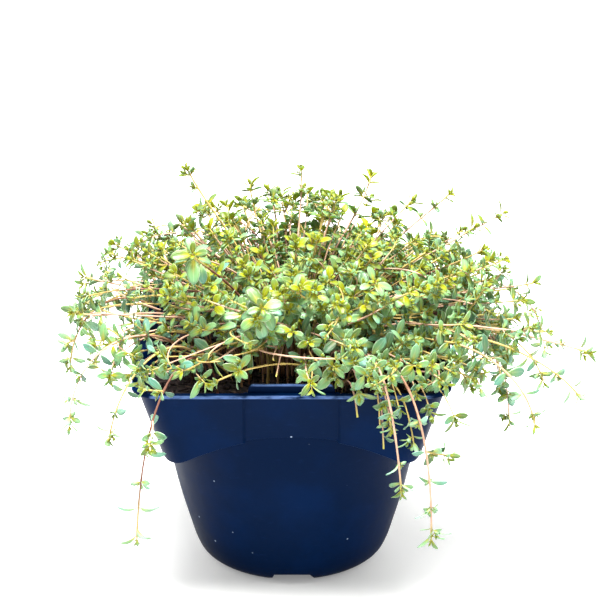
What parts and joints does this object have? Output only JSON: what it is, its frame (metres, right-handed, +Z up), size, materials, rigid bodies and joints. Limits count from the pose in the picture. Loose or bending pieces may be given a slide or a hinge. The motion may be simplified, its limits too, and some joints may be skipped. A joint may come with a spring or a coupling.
{
  "type": "potted thyme",
  "caption": "Potted thyme: a bush of small-leaved stems that domes over and trails from a square-topped, round-bodied nursery pot of dark soil.",
  "frame": {"origin": "on the pot's axis, on the surface that it stands on", "axes": "+Z up; -Y is the front, the side the picture shows; +X is to its right, where the plant reaches furthest"},
  "size_m": [0.2278, 0.198, 0.1731],
  "materials": {
    "pot_plastic": "satin",
    "potting_soil": "matte",
    "young_leaf": "satin",
    "mature_leaf": "satin"
  },
  "bodies": {
    "root": {"pot": "pot_plastic", "soil": "potting_soil", "thyme_stem_01": "young_leaf", "thyme_stem_02": "young_leaf", "thyme_stem_03": "young_leaf", "thyme_stem_04": "young_leaf", "thyme_stem_05": "young_leaf", "thyme_stem_06": "young_leaf", "thyme_stem_07": "young_leaf", "thyme_stem_08": "young_leaf", "thyme_stem_09": "young_leaf", "thyme_stem_10": "young_leaf", "thyme_stem_11": "mature_leaf", "thyme_stem_12": "mature_leaf", "thyme_stem_13": "mature_leaf", "thyme_stem_14": "mature_leaf", "thyme_stem_15": "mature_leaf", "thyme_stem_16": "mature_leaf", "thyme_stem_17": "mature_leaf", "thyme_stem_18": "mature_leaf", "thyme_stem_19": "mature_leaf", "thyme_stem_20": "mature_leaf", "thyme_stem_21": "mature_leaf", "thyme_stem_22": "mature_leaf", "thyme_stem_23": "mature_leaf", "thyme_stem_24": "young_leaf", "thyme_stem_25": "mature_leaf", "thyme_stem_26": "mature_leaf", "thyme_stem_27": "mature_leaf", "thyme_stem_28": "mature_leaf", "thyme_stem_29": "mature_leaf", "thyme_stem_30": "mature_leaf", "thyme_stem_31": "young_leaf", "thyme_stem_32": "young_leaf", "thyme_stem_33": "young_leaf", "thyme_stem_34": "young_leaf", "thyme_stem_35": "young_leaf", "thyme_stem_36": "young_leaf", "thyme_stem_37": "young_leaf", "thyme_stem_38": "young_leaf", "thyme_stem_39": "young_leaf", "thyme_stem_40": "young_leaf", "thyme_stem_41": "young_leaf", "thyme_stem_42": "young_leaf", "thyme_stem_43": "young_leaf", "thyme_stem_44": "young_leaf", "thyme_stem_45": "young_leaf", "thyme_stem_46": "young_leaf", "thyme_stem_47": "mature_leaf", "thyme_stem_48": "mature_leaf", "thyme_stem_49": "mature_leaf", "thyme_stem_50": "mature_leaf", "thyme_stem_51": "mature_leaf", "thyme_stem_52": "mature_leaf", "thyme_stem_53": "mature_leaf", "thyme_stem_54": "mature_leaf", "thyme_stem_55": "mature_leaf", "thyme_stem_56": "mature_leaf", "thyme_stem_57": "mature_leaf", "thyme_stem_58": "mature_leaf"}
  },
  "joints": []
}
